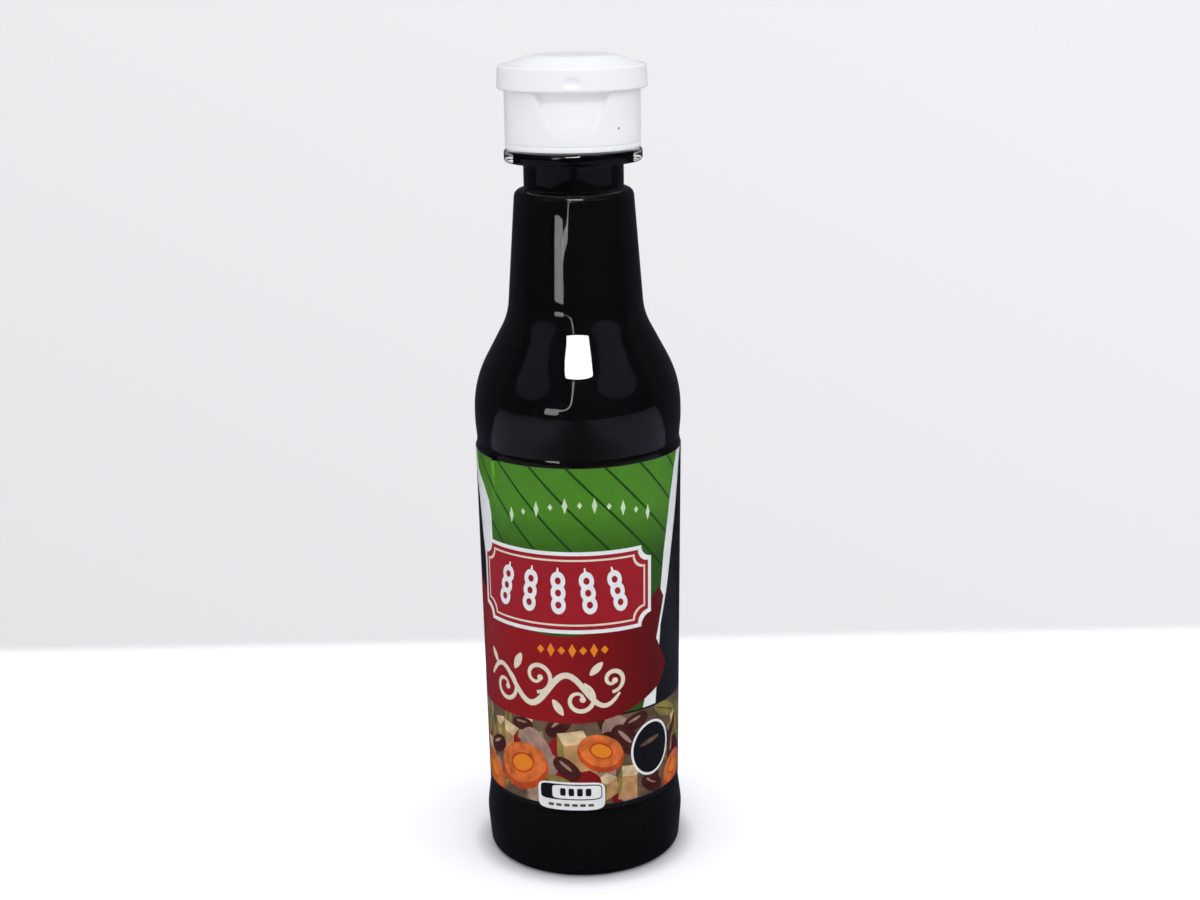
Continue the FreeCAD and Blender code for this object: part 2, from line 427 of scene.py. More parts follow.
cap_corners = with_rows([
    (cap_bore_r, cap_z, 0.1),
    (cap_r, cap_z, 0.3),
    (cap_r, band_z, 0.05),
    (cap_r - 0.2, band_z + 0.05, 0.05),
    (cap_r - 0.2, band_z + band_w - 0.05, 0.05),
    (cap_r, band_z + band_w, 0.05),
    (cap_r, shelf_z, 0.1),
    (deck_r, shelf_z, 0.1),
    (deck_r, deck_z, 0.4),
    (0.0, deck_z, 0.0),
    (0.0, deck_z - deck_t, 0.0),
    (cap_bore_r, deck_z - deck_t, 0.2),
    (cap_bore_r, cap_z, 0.0),
], shelf_z - recess_h - 1.0, shelf_z, row_step)
cap = turn_piece("cap_skirt", cap_corners, white_plastic, arc_steps=4, turn_steps=360, sharp=50.0)
press_front(cap, cap_r, recess_at)


def hinge_block():
    """Curved block with softened edges, from the skirt out under the lid's rim."""
    work = bmesh.new()
    steps = 12
    half = hinge_w / 2 / cap_r
    sections = []
    outline = [(cap_r - 0.3, shelf_z - hinge_h), (cap_r + hinge_out, shelf_z - hinge_h + 0.5),
               (cap_r + hinge_out, shelf_z + lid_gap), (cap_r - 0.3, shelf_z + lid_gap)]
    for i in range(steps + 1):
        turn = math.pi / 2 - half + 2 * half * i / steps
        sections.append([work.verts.new((r * math.cos(turn) * MM, r * math.sin(turn) * MM, z * MM))
                         for r, z in outline])
    for near, far in zip(sections, sections[1:]):
        for k in range(4):
            work.faces.new((near[k], near[(k + 1) % 4], far[(k + 1) % 4], far[k]))
    work.faces.new(sections[0][::-1])
    work.faces.new(sections[-1])
    bmesh.ops.recalc_face_normals(work, faces=work.faces)
    mesh = bpy.data.meshes.new("cap_hinge")
    work.to_mesh(mesh)
    work.free()
    obj = bpy.data.objects.new("cap_hinge", mesh)
    bpy.context.scene.collection.objects.link(obj)
    soften = obj.modifiers.new("soften", "BEVEL")
    soften.width = 0.0002
    soften.segments = 3
    soften.limit_method = "ANGLE"
    mesh.materials.append(white_plastic)
    return plain_mesh(obj)


hinge = hinge_block()
for piece in (cap, hinge):
    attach(piece, "root")
    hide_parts("cap")


# ---- Lid -------------------------------------------------------------------------------------
# The shut lid is a second white moulding: a rim that overhangs the skirt, a flat brim, a low raised
# middle, and a small thumb notch pressed into the front of the rim.
lid_z = shelf_z + lid_gap
lid_foot_r = 14.85
lid_rim_r = 14.55
brim_z = lid_z + 4.7
brim_in_r = 13.25
dome_r = 8.5
lid_top_z = brim_z + 1.8
lid_bore_r = 11.95
lid_wall = 1.3
notch_z = lid_z + 1.9
notch_half_w = 1.9
notch_half_h = 1.2
notch_depth = 0.4


def notch_at(arc, z):
    reach = math.hypot(arc / notch_half_w, (z - notch_z) / notch_half_h)
    return notch_depth * (1.0 - smooth_step(0.35, 1.0, reach))


lid_corners = with_rows([
    (lid_bore_r, lid_z, 0.1),
    (lid_foot_r, lid_z, 0.5),
    (lid_rim_r, brim_z, 0.6),
    (brim_in_r, brim_z, 0.8),
    (dome_r, lid_top_z, 7.0),
    (0.0, lid_top_z, 0.0),
    (0.0, lid_top_z - lid_wall, 0.0),
    (lid_bore_r, brim_z - lid_wall, 0.3),
    (lid_bore_r, lid_z, 0.0),
], lid_z + 0.6, brim_z - 0.7, row_step)
lid = turn_piece("lid_shell", lid_corners, white_plastic, arc_steps=8, turn_steps=360)
press_front(lid, lid_foot_r, notch_at)
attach(lid, "root")
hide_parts("cap_lid")


# ---- Label -----------------------------------------------------------------------------------
# The label is a thin printed film wrapped once round the panel and glued where its ends overlap at
# the back, and puckered a little at the top, left of the front. Places on it are the arc length from
# the middle of the front and the height, in millimetres.
wrap_r = 20.6
film_t = 0.12
label_low = panel_foot_z + 0.4
label_high = panel_top_z - 0.3
label_half = math.pi * wrap_r + 1.6
pucker_arc = -18.7
pucker_height = 1.1
pucker_low = 79.0
pucker_w = 0.6

inks = {
    "paper white": (0.80, 0.82, 0.83),
    "leaf green": (0.070, 0.230, 0.019),
    "deep green": (0.010, 0.050, 0.006),
    "black": (0.0075, 0.0080, 0.0105),
    "bright red": (0.330, 0.012, 0.022),
    "dark red": (0.270, 0.008, 0.012),
    "cream": (0.760, 0.680, 0.560),
    "orange": (0.780, 0.230, 0.016),
    "carrot": (0.480, 0.062, 0.012),
    "carrot light": (0.620, 0.140, 0.030),
    "peach": (0.460, 0.250, 0.110),
    "pale peach": (0.620, 0.460, 0.270),
    "olive": (0.230, 0.190, 0.050),
    "bean": (0.060, 0.014, 0.012),
    "dusk": (0.125, 0.078, 0.050),
    "dusk pink": (0.330, 0.205, 0.165),
    "pale green": (0.560, 0.720, 0.470),
    "film edge": (0.090, 0.120, 0.070),
}
ink_names = list(inks)
shapes = []


def draw(ink, points):
    shapes.append((ink_names.index(ink), [(x, z) for x, z in points]))


def oval(x, z, half_w, half_h, tilt=0.0, count=36, power=1.0):
    """Closed oval; a power under 1 makes it squarer."""
    points = []
    for i in range(count):
        turn = 2 * math.pi * i / count
        c = math.copysign(abs(math.cos(turn)) ** power, math.cos(turn)) * half_w
        s = math.copysign(abs(math.sin(turn)) ** power, math.sin(turn)) * half_h
        points.append((x + c * math.cos(tilt) - s * math.sin(tilt),
                       z + c * math.sin(tilt) + s * math.cos(tilt)))
    return points


def box(x0, z0, x1, z1):
    """Corners of an upright oblong."""
    return [(x0, z0), (x1, z0), (x1, z1), (x0, z1)]


def lozenge(x, z, half_w, half_h):
    return [(x - half_w, z), (x, z - half_h), (x + half_w, z), (x, z + half_h)]


def stroke(ink, line, width_at):
    """Pen stroke along a line, as short quads with round joints."""
    for i, ((x0, z0), (x1, z1)) in enumerate(zip(line, line[1:])):
        run = math.hypot(x1 - x0, z1 - z0)
        nx, nz = -(z1 - z0) / run, (x1 - x0) / run
        w0 = width_at(i / (len(line) - 1)) / 2
        w1 = width_at((i + 1) / (len(line) - 1)) / 2
        draw(ink, [(x0 + nx * w0, z0 + nz * w0), (x0 - nx * w0, z0 - nz * w0),
                   (x1 - nx * w1, z1 - nz * w1), (x1 + nx * w1, z1 + nz * w1)])
        draw(ink, oval(x1, z1, w1, w1, count=12))


def plaque(x, z, half_w, half_h, scoop):
    """Oblong with a quarter circle scooped out of each corner."""
    points = []
    for sx, sz, start in ((1, 1, 270), (-1, 1, 0), (-1, -1, 90), (1, -1, 180)):
        for i in range(9):
            turn = math.radians(start - 90 * i / 8)
            points.append((x + sx * half_w + scoop * math.cos(turn),
                           z + sz * half_h + scoop * math.sin(turn)))
    return points


# Whole film, then the green field with its white borders and its slanting lines
draw("black", box(-label_half, label_low, label_half, label_high))
left_border = [(-28.6, label_high), (-27.4, 84.5), (-23.9, 81.9), (-21.7, 78.9), (-21.0, 76.0),
               (-20.8, 60.0), (-18.0, 36.0)]
right_border = [(24.6, label_high), (21.6, 78.3), (19.4, 68.0), (18.3, 60.0), (17.7, 52.7), (13.2, 36.0)]
draw("paper white", [(-31.5, label_high), (-27.2, 78.5), (-26.3, 74.5), (-25.4, 70.0), (-23.0, 60.0),
                     (-20.0, 36.0), (16.8, 36.0), (18.4, 52.7), (20.6, 60.0), (22.5, 68.5),
                     (24.8, 77.4), (27.4, label_high)])
draw("leaf green", left_border + right_border[::-1])


def border_at(border, z):
    """Arc length of a border at a height."""
    for (x0, z0), (x1, z1) in zip(border, border[1:]):
        if z1 <= z <= z0:
            return x0 + (x1 - x0) * (z0 - z) / (z0 - z1)
    return border[-1][0]


line_step = 7.6
line_slope = 1.07
line_half_w = 0.3
border_gap = 0.2
for i in range(-5, 5):
    line = [(line_step * i - 2.5 + (label_high - z) / line_slope, z)
            for z in [label_high - 0.4 * k for k in range(71)]]
    line = [(x, z) for x, z in line
            if border_at(left_border, z) + border_gap < x < border_at(right_border, z) - border_gap]
    for (x0, z0), (x1, z1) in zip(line, line[1:]):
        draw("deep green", [(x0 + line_half_w, z0), (x0 - line_half_w, z0),
                            (x1 - line_half_w, z1), (x1 + line_half_w, z1)])

# Arched row of small pale lozenges across the green field
arch_half = 14.5
for i in range(11):
    x = -arch_half + arch_half / 5 * i
    z = 80.6 - 3.0 * (x / arch_half) ** 2
    wide, tall = (0.55, 1.65) if i % 2 == 0 else (0.5, 0.7)
    draw("pale green", lozenge(x, z, wide, tall))

# Picture band: beans, roots and cubes heaped together, with a dish of sauce
picture_low = 16.3
picture_high = 35.6
picture_half = 34.0
draw("dusk", box(-picture_half, picture_low, picture_half, picture_high))


def draw_in_band(ink, points):
    """Draw a shape that is cut off level at the picture band's edges."""
    draw(ink, [(x, min(max(z, picture_low), picture_high)) for x, z in points])


def root_slice(x, z, size, tilt):
    draw_in_band("carrot", oval(x, z - size * 0.16, size, size * 0.72, tilt))
    draw_in_band("carrot light", oval(x, z, size * 0.94, size * 0.66, tilt))
    draw_in_band("carrot", oval(x, z, size * 0.5, size * 0.34, tilt))
    draw_in_band("orange", oval(x, z, size * 0.42, size * 0.27, tilt))


def cube(x, z, size, tilt):
    c, s = math.cos(tilt) * size, math.sin(tilt) * size
    up = size * 1.1
    right, left = (x + c, z + s * 0.6), (x - s, z + c * 0.5)
    draw_in_band("pale peach", [(x, z), right, (x + c - s, z + s * 0.6 + c * 0.5), left])
    draw_in_band("peach", [(x, z), (x, z - up), (right[0], right[1] - up), right])
    draw_in_band("olive", [(x, z), left, (left[0], left[1] - up), (x, z - up)])


def bean_pod(x, z, size, tilt):
    draw_in_band("bean", oval(x, z, size, size * 0.55, tilt, power=0.9))
    lift = size * 0.18
    draw_in_band("dusk pink", oval(x - lift * 0.5, z + lift, size * 0.5, size * 0.1, tilt, count=20))


def leaf(x, z, size, tilt):
    draw_in_band("olive", oval(x, z, size, size * 0.38, tilt, power=1.25))
    c, s = math.cos(tilt) * size * 0.8, math.sin(tilt) * size * 0.8
    nx, nz = -math.sin(tilt) * 0.12, math.cos(tilt) * 0.12
    draw_in_band("bean", [(x - c + nx, z - s + nz), (x - c - nx, z - s - nz),
                          (x + c - nx, z + s - nz), (x + c + nx, z + s + nz)])


def scatter(index, lane):
    """Repeatable number from 0 to 1."""
    return (math.sin(index * 12.9898 + lane * 78.233) * 43758.5453) % 1.0


for i in range(58):
    x = -33.0 + 66.0 * scatter(i, 1)
    z = picture_low + 1.0 + (picture_high - picture_low - 2.0) * scatter(i, 2)
    size = 2.4 + 2.2 * scatter(i, 3)
    tilt = math.pi * scatter(i, 4)
    kind = i % 5
    if kind == 0:
        leaf(x, z, size * 1.3, tilt)
    elif kind == 1:
        bean_pod(x, z, size, tilt)
    elif kind == 2:
        draw_in_band("dusk pink", oval(x, z, size * 1.2, size * 0.8, tilt, power=0.8))
    elif kind == 3:
        draw_in_band("dark red", oval(x, z, size * 1.3, size * 0.9, tilt, power=0.8))
    else:
        cube(x, z, size, tilt * 0.4 - 0.3)
for piece, x, z, size, tilt in (
        (leaf, -28.0, 28.5, 5.6, 1.0), (cube, -20.6, 30.4, 4.6, -0.35),
        (root_slice, -24.5, 19.6, 5.0, -0.5), (leaf, -5.4, 20.4, 5.6, -0.4),
        (cube, -4.2, 29.4, 5.6, 0.25), (root_slice, -14.0, 24.2, 6.6, 0.35),
        (root_slice, 3.6, 28.2, 5.2, -0.4), (bean_pod, -22.0, 26.0, 3.4, 0.5),
        (bean_pod, -3.6, 24.4, 3.4, -0.7), (cube, 7.2, 22.0, 4.6, -0.2),
        (bean_pod, 11.4, 33.4, 3.2, 0.3), (root_slice, 24.0, 19.6, 4.6, 0.3)):
    piece(x, z, size, tilt)
dish_x = 15.6
dish_z = 26.6
dish_r = 5.4
draw("paper white", oval(dish_x, dish_z, dish_r, dish_r * 1.12, count=48))
draw("black", oval(dish_x, dish_z, dish_r * 0.9, dish_r * 1.02, count=48))
draw("dusk", oval(dish_x - 0.4, dish_z + 1.6, dish_r * 0.5, dish_r * 0.1, tilt=0.2, count=24))

# Dark red ribbon with a forked end, and the flourish and lozenges on it
ribbon_top = [(x, 53.2 + 7.2 * ((x + 5.0) / 22.0) ** 2) for x in range(-30, 19, 2)]
ribbon_low = [(x, 34.4 + 5.6 * (max(x + 2.0, 0.0) / 20.0) ** 2) for x in range(18, -31, -2)]
draw("dark red", ribbon_top + [(19.4, 58.6), (17.0, 50.2), (20.4, 44.0)] + ribbon_low)


def scroll(x, z, size, turns, start, way):
    """Spiral tendril, thick at its root and fine at its eye."""
    line = []
    for i in range(int(30 * turns)):
        share = i / (30 * turns)
        turn = start + way * 2 * math.pi * turns * share
        reach = size * (1.0 - 0.82 * share)
        line.append((x + reach * math.cos(turn), z + reach * math.sin(turn)))
    stroke("cream", line, lambda share: 0.95 - 0.6 * abs(share - 0.35))
    draw("cream", oval(line[-1][0], line[-1][1], 0.65, 0.65, count=16))


stem = [(-23.0 + 0.9 * i, 41.5 + 3.4 * math.sin(i * 0.36)) for i in range(35)]
stroke("cream", stem, lambda share: 0.55 + 0.75 * math.sin(math.pi * share) ** 0.5)
scroll(-18.2, 40.3, 3.7, 1.25, 1.2, -1)
scroll(-9.6, 44.2, 3.5, 1.25, -1.6, 1)
scroll(-0.8, 39.6, 3.5, 1.25, 1.3, -1)
scroll(6.2, 43.6, 2.7, 1.2, -1.6, 1)
for x, z, size, tilt in ((-14.2, 46.6, 2.1, 1.1), (-5.2, 37.8, 2.0, -1.0),
                         (2.8, 46.2, 1.9, 0.8), (-21.6, 46.0, 1.7, 2.2)):
    draw("cream", oval(x, z, size, size * 0.42, tilt, power=1.25, count=28))
for i in range(7):
    draw("orange", lozenge(-8.6 + 2.2 * i, 50.2, 0.8, 1.5 if i % 2 else 0.9))

# Red plaque with a white frame and a row of white bean pods
plate_x = -4.6
plate_z = 62.4
plate_scoop = 2.6
for ink, half_w, half_h in (("paper white", 20.0, 8.6), ("bright red", 19.2, 7.8),
                            ("cream", 18.4, 7.0), ("bright red", 18.0, 6.6)):
    draw(ink, plaque(plate_x, plate_z, half_w, half_h, plate_scoop))
pod_gap = 6.0
bean_gap = 2.55
for i in range(5):
    x = plate_x + pod_gap * (i - 2)
    tilt = math.radians(90 - 14 + 7 * i)

    def along_pod(reach):
        return x + reach * math.cos(tilt), plate_z + reach * math.sin(tilt)

    for k in (-1, 0, 1):
        draw("paper white", oval(*along_pod(bean_gap * k), 1.95, 1.5, tilt, count=28))
    stroke("paper white", [along_pod(3.6), along_pod(5.2)], lambda share: 0.7 - 0.4 * share)
    for k in (-1, 0, 1):
        draw("bright red", oval(*along_pod(bean_gap * k), 0.75, 0.62, tilt, count=18))

# White patch near the foot with a plain block, a thin frame and short bars
draw("paper white", oval(-2.9, 18.3, 7.2, 3.1, power=0.35, count=48))
draw("black", oval(-2.9, 19.2, 6.6, 1.75, power=0.3, count=48))
draw("paper white", oval(-1.7, 19.2, 5.2, 1.5, power=0.3, count=48))
for i in range(4):
    draw("black", oval(-4.6 + 1.8 * i, 19.2, 0.6, 0.85, power=0.4, count=16))
for i in range(6):
    draw("dusk", oval(-7.2 + 1.7 * i, 16.3, 0.62, 0.32, power=0.4, count=12))

# Back of the label: a ruled panel, a block of upright bars and a column of bars, all blank
back_x = 50.0
panel_half = 9.0
frame_w = 0.4
rule_x = back_x - 7.8
draw("paper white", box(back_x - panel_half, 44, back_x + panel_half, 80))
draw("black", box(back_x - panel_half + frame_w, 44 + frame_w, back_x + panel_half - frame_w, 80 - frame_w))
for i in range(11):
    z = 47.0 + 3.0 * i
    draw("paper white", box(rule_x, z, back_x + 7.8 - 3.0 * scatter(i, 5), z + 0.35))
draw("paper white", box(back_x - panel_half, 22, back_x + panel_half, 38))
x = rule_x
i = 0
while x < back_x + 7.2:
    wide = 0.3 + 0.5 * scatter(i, 6)
    draw("black", box(x, 23.5, x + wide, 36.5))
    x += wide + 0.35 + 0.4 * scatter(i, 7)
    i += 1
for i in range(14):
    z = 24.0 + 4.2 * i
    draw("dusk pink", box(-58.0, z, -40.0 - 4.0 * scatter(i, 8), z + 0.5))


def film_radius(arc, z):
    """Radius of the film's printed side: the panel's taper, the pucker and the glued overlap."""
    share = (z - panel_foot_z) / (panel_top_z - panel_foot_z)
    r = panel_foot_r + (panel_top_r - panel_foot_r) * share + film_t
    fade = smooth_step(pucker_low, 88.5, z)
    r += pucker_height * fade * math.exp(-((arc - pucker_arc) / pucker_w) ** 2)
    r += 0.16 * smooth_step(84.5, 88.1, z) * (0.5 + 0.5 * math.sin(arc * 0.31 + 0.8))
    r += 0.14 * smooth_step(label_half - 5.0, label_half - 3.2, arc)
    return r


def film_place(arc, z):
    r = film_radius(arc, z)
    turn = arc / wrap_r
    return Vector((r * math.sin(turn), -r * math.cos(turn), z))


def film_normal(arc, z):
    step = 0.05
    across = film_place(arc + step, z) - film_place(arc - step, z)
    upward = film_place(arc, z + step) - film_place(arc, z - step)
    return across.cross(upward).normalized()


def scaled(tree, colour, factor):
    """Colour times a number."""
    node = tree.nodes.new("ShaderNodeVectorMath")
    node.operation = "SCALE"
    feed(tree, node.inputs[0], colour)
    feed(tree, node.inputs["Scale"], factor)
    return node.outputs[0]


def print_group():
    """Shader group: a printed colour, a little uneven, with painted shade low down or to the right,
    and a painted highlight along the pucker's ridge, where the ridge would catch the light."""
    tree = bpy.data.node_groups.new("Printed ink", "ShaderNodeTree")
    face = tree.interface
    face.new_socket("Ink", in_out="INPUT", socket_type="NodeSocketColor")
    for name in ("Blotch", "Low Shade", "Side Shade"):
        face.new_socket(name, in_out="INPUT", socket_type="NodeSocketFloat")
    face.new_socket("Ink", in_out="OUTPUT", socket_type="NodeSocketColor")
    source, out, coords, split, blotch, fine = add_nodes(
        tree, "NodeGroupInput", "NodeGroupOutput", "ShaderNodeTexCoord", "ShaderNodeSeparateXYZ",
        "ShaderNodeTexNoise", "ShaderNodeTexNoise")
    blotch.inputs["Scale"].default_value = 420.0
    blotch.inputs["Detail"].default_value = 4.0
    fine.inputs["Scale"].default_value = 5200.0
    for node in (split, blotch, fine):
        tree.links.new(coords.outputs["Object"], node.inputs[0])
    x, z = split.outputs["X"], split.outputs["Z"]

    uneven = calc(tree, "MULTIPLY_ADD", fine.outputs["Fac"], 0.25, blotch.outputs["Fac"])
    level = calc(tree, "MULTIPLY_ADD", calc(tree, "SUBTRACT", uneven, 0.625), source.outputs["Blotch"], 1.0)
    # Painted highlight: a thin lighter line along the pucker's ridge, fading out downwards
    pucker_x = (wrap_r + pucker_height) * MM * math.sin(pucker_arc / wrap_r)
    off_pucker = calc(tree, "ABSOLUTE", calc(tree, "SUBTRACT", x, pucker_x))
    painted_pucker_line = ramp(tree, off_pucker, 0.0001, 0.0005, 1.0, 0.0, smooth=True)
    painted_pucker_highlight = calc(tree, "MULTIPLY", painted_pucker_line, ramp(tree, z, pucker_low * MM, 0.086))
    for share, amount in ((ramp(tree, z, 0.068, 0.079, 1.0, 0.0), source.outputs["Low Shade"]),
                          (ramp(tree, x, -0.006, 0.014), source.outputs["Side Shade"]),
                          (painted_pucker_highlight, 0.75)):
        level = calc(tree, "MULTIPLY", level, calc(tree, "MULTIPLY_ADD", share, amount, 1.0))
    tree.links.new(scaled(tree, source.outputs["Ink"], level), out.inputs["Ink"])
    return tree


printed_ink = print_group()
picture_inks = ("carrot", "carrot light", "peach", "pale peach", "olive", "bean", "dusk", "dusk pink")


def ink_material(name):
    colour = inks[name] + (1.0,)
    material = new_material(name + " ink", Base_Color=colour, Roughness=0.34, Specular_IOR_Level=0.12)
    tree = material.node_tree
    ink = tree.nodes.new("ShaderNodeGroup")
    ink.node_tree = printed_ink
    ink.inputs["Ink"].default_value = colour
    # Low Shade and Side Shade are painted shade: the green darker low down, the dark red darker to the
    # right
    ink.inputs["Blotch"].default_value = 1.7 if name in picture_inks else 0.25
    ink.inputs["Low Shade"].default_value = -0.62 if name == "leaf green" else 0.0
    ink.inputs["Side Shade"].default_value = -0.6 if name == "dark red" else 0.0
    tree.links.new(ink.outputs["Ink"], tree.nodes["Principled BSDF"].inputs["Base Color"])
    return material


def inside(point, points):
    """Whether a place lies inside a closed outline."""
    odd = False
    for (x0, z0), (x1, z1) in zip(points, points[1:] + points[:1]):
        if (z0 > point.y) != (z1 > point.y):
            odd ^= point.x < x0 + (x1 - x0) * (point.y - z0) / (z1 - z0)
    return odd


def ink_finder():
    """Function that gives the ink of a place: that of the last shape drawn over it."""
    cell = 2.5
    cells = {}
    for order, (ink, points) in enumerate(shapes):
        xs, zs = [p[0] for p in points], [p[1] for p in points]
        for i in range(math.floor(min(xs) / cell), math.floor(max(xs) / cell) + 1):
            for k in range(math.floor(min(zs) / cell), math.floor(max(zs) / cell) + 1):
                cells.setdefault((i, k), []).append(order)

    def ink_at(point):
        for order in reversed(cells[(math.floor(point.x / cell), math.floor(point.y / cell))]):
            if inside(point, shapes[order][1]):
                return shapes[order][0]
        return 0

    return ink_at


def wrap_label():
    """Cut the film along every printed outline, bend it round the panel and give it its thickness."""
    corners, lines = [], []
    ups = [label_low + (label_high - label_low) * k / 40 for k in range(41)]
    arcs = [-label_half + 2 * label_half * k / 134 for k in range(135)]
    arcs += [pucker_arc - 2.4 + 0.2 * k for k in range(25)]
    for arc in arcs:
        lines.append((len(corners), len(corners) + 1))
        corners += [(arc, label_low), (arc, label_high)]
    for z in ups:
        lines.append((len(corners), len(corners) + 1))
        corners += [(-label_half, z), (label_half, z)]
    for _, points in shapes:
        first, last = len(corners), len(corners) + len(points) - 1
        lines += [(i, i + 1) for i in range(first, last)] + [(last, first)]
        corners += points
    cut = geometry.delaunay_2d_cdt([Vector(c) for c in corners], lines, [], 0, 1e-4, True)
    flat, faces = cut[0], cut[2]
    front = [film_place(p.x, p.y) for p in flat]
    normals = [film_normal(p.x, p.y) for p in flat]
    back = [p - n * film_t for p, n in zip(front, normals)]
    count = len(front)
    polygons, paint = [], []
    directed = set()
    ink_at = ink_finder()
    for face in faces:
        a, b, c = (flat[i] for i in face)
        if (b - a).cross(c - a) < 0:
            face = face[::-1]
        polygons.append(tuple(face))
        paint.append(ink_at((a + b + c) / 3))
        directed.update(zip(face, list(face[1:]) + [face[0]]))
    edge_ink = ink_names.index("film edge")
    rims = [(a, b) for a, b in directed if (b, a) not in directed]
    polygons += [tuple(i + count for i in reversed(face)) for face in polygons]
    paint += [edge_ink] * len(paint)
    polygons += [(b, a, a + count, b + count) for a, b in rims]
    paint += [edge_ink] * len(rims)
    mesh = bpy.data.meshes.new("label_film")
    mesh.from_pydata([p * MM for p in front + back], [], polygons)
    for name in ink_names:
        mesh.materials.append(ink_material(name))
    mesh.polygons.foreach_set("material_index", paint)
    mesh.shade_smooth()
    mesh.update()
    corner_normals = []
    for polygon, ink in zip(mesh.polygons, paint):
        is_rim = len(polygon.vertices) == 4
        for v in polygon.vertices:
            if is_rim:
                corner_normals.append(polygon.normal[:])
            elif v < count:
                corner_normals.append(normals[v][:])
            else:
                corner_normals.append((-normals[v - count])[:])
    mesh.normals_split_custom_set(corner_normals)
    obj = bpy.data.objects.new("label_film", mesh)
    bpy.context.scene.collection.objects.link(obj)
    return obj


label = wrap_label()
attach(label, "root")
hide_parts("label")


# ---- Floor and backdrop ----------------------------------------------------------------------
# A white paper floor turns up, a hand's breadth behind the bottle, into a slightly greyer wall. More
# floor lies behind the wall, which is left out where it is seen from its back.
sweep_half = 1.6
sweep_front = -1.2
cove_start = 0.097
cove_round = 0.010
cove_steps = 16
wall_high = 1.6
sweep_rear = 1.6
rear_z = -0.0005

sweep_line = [(sweep_front, 0.0)]
for k in range(cove_steps + 1):
    turn = math.pi / 2 * k / cove_steps
    sweep_line.append((cove_start + cove_round * math.sin(turn), cove_round * (1 - math.cos(turn))))
sweep_line.append((cove_start + cove_round, wall_high))
rear_floor = [(cove_start - 0.005, rear_z), (sweep_rear, rear_z)]
rear_row = len(sweep_line)
sweep = bpy.data.meshes.new("sweep")
sweep.from_pydata([(side * sweep_half, y, z) for y, z in sweep_line + rear_floor for side in (-1, 1)], [],
                  [(2 * k, 2 * k + 1, 2 * k + 3, 2 * k + 2) for k in [*range(rear_row - 1), rear_row]])
sweep.shade_smooth()
backdrop = bpy.data.objects.new("sweep", sweep)
bpy.context.scene.collection.objects.link(backdrop)


def sweep_paper():
    """White paper: a lit floor, an even pale wall, and both dim where only gloss shows them."""
    material = new_material("sweep paper", Roughness=0.9, Specular_IOR_Level=0.0, Emission_Strength=1.0)
    tree = material.node_tree
    link = tree.links.new
    surface, out = tree.nodes["Principled BSDF"], tree.nodes["Material Output"]
    coords, split, path, side, near, plain, clear, seen_mix, rear_mix = add_nodes(
        tree, "ShaderNodeTexCoord", "ShaderNodeSeparateXYZ", "ShaderNodeLightPath",
        "ShaderNodeNewGeometry", "ShaderNodeAmbientOcclusion", "ShaderNodeBsdfDiffuse",
        "ShaderNodeBsdfTransparent", "ShaderNodeMixShader", "ShaderNodeMixShader")
    place = coords.outputs["Object"]
    link(place, split.inputs[0])
    x, y, z = split.outputs
    reach = calc(tree, "LENGTH", place, kind="ShaderNodeVectorMath")
    on_wall = ramp(tree, z, 0.0, 0.0065, smooth=True)

    # What the camera sees: painted light makes the wall lighter to the right and upwards
    wall = mix_colours(tree, ramp(tree, x, -0.24, 0.20),
                       (0.785, 0.775, 0.800, 1.0), (0.865, 0.850, 0.880, 1.0))
    wall = scaled(tree, wall, ramp(tree, z, 0.0, 0.17, 0.975, 1.05))
    floor = mix_colours(tree, ramp(tree, y, cove_start, cove_start + cove_round),
                        (0.42, 0.425, 0.45, 1.0), (0.95, 0.95, 0.96, 1.0))
    glow = mix_colours(tree, on_wall, floor, wall)
    base = mix_colours(tree, on_wall, (0.80, 0.80, 0.83, 1.0), (0.0, 0.0, 0.0, 1.0))

    # Painted shadow: the floor darkens round the bottle's foot, and most where it stands
    near.inputs["Distance"].default_value = 0.05
    painted_contact_shadow = mix_colours(tree, ramp(tree, reach, 0.030, 0.075, smooth=True),
                          near.outputs["Color"], (1.0, 1.0, 1.0, 1.0))
    glow = calc(tree, "MULTIPLY", glow, painted_contact_shadow, kind="ShaderNodeVectorMath")
    # Painted shadow: a ring darkest right at the foot, in both the floor's colour and its glow
    painted_foot_shadow = ramp(tree, reach, 0.019, 0.0255, 0.56, 1.0, smooth=True)
    link(scaled(tree, base, painted_foot_shadow), surface.inputs["Base Color"])
    link(scaled(tree, glow, painted_foot_shadow), surface.inputs["Emission Color"])

    # What gloss and bounced light see: a dim room, with the floor lighter to either side
    aside = ramp(tree, calc(tree, "ABSOLUTE", x), 0.02, 0.26, smooth=True)
    aside = calc(tree, "MAXIMUM", calc(tree, "SUBTRACT", aside, on_wall), 0.0)
    dim = mix_colours(tree, aside, (0.06, 0.065, 0.085, 1.0), (0.46, 0.49, 0.62, 1.0))
    unseen = mix_colours(tree, path.outputs["Is Glossy Ray"], (0.70, 0.70, 0.72, 1.0), dim)
    link(unseen, plain.inputs["Color"])
    seen = calc(tree, "MAXIMUM", path.outputs["Is Camera Ray"], path.outputs["Is Transmission Ray"])
    from_rear = calc(tree, "MULTIPLY", side.outputs["Backfacing"], path.outputs["Is Camera Ray"])
    for mix, share, first, second in ((seen_mix, seen, plain, surface),
                                      (rear_mix, from_rear, seen_mix, clear)):
        link(share, mix.inputs["Fac"])
        link(first.outputs[0], mix.inputs[1])
        link(second.outputs[0], mix.inputs[2])
    link(rear_mix.outputs[0], out.inputs["Surface"])
    return material


sweep.materials.append(sweep_paper())


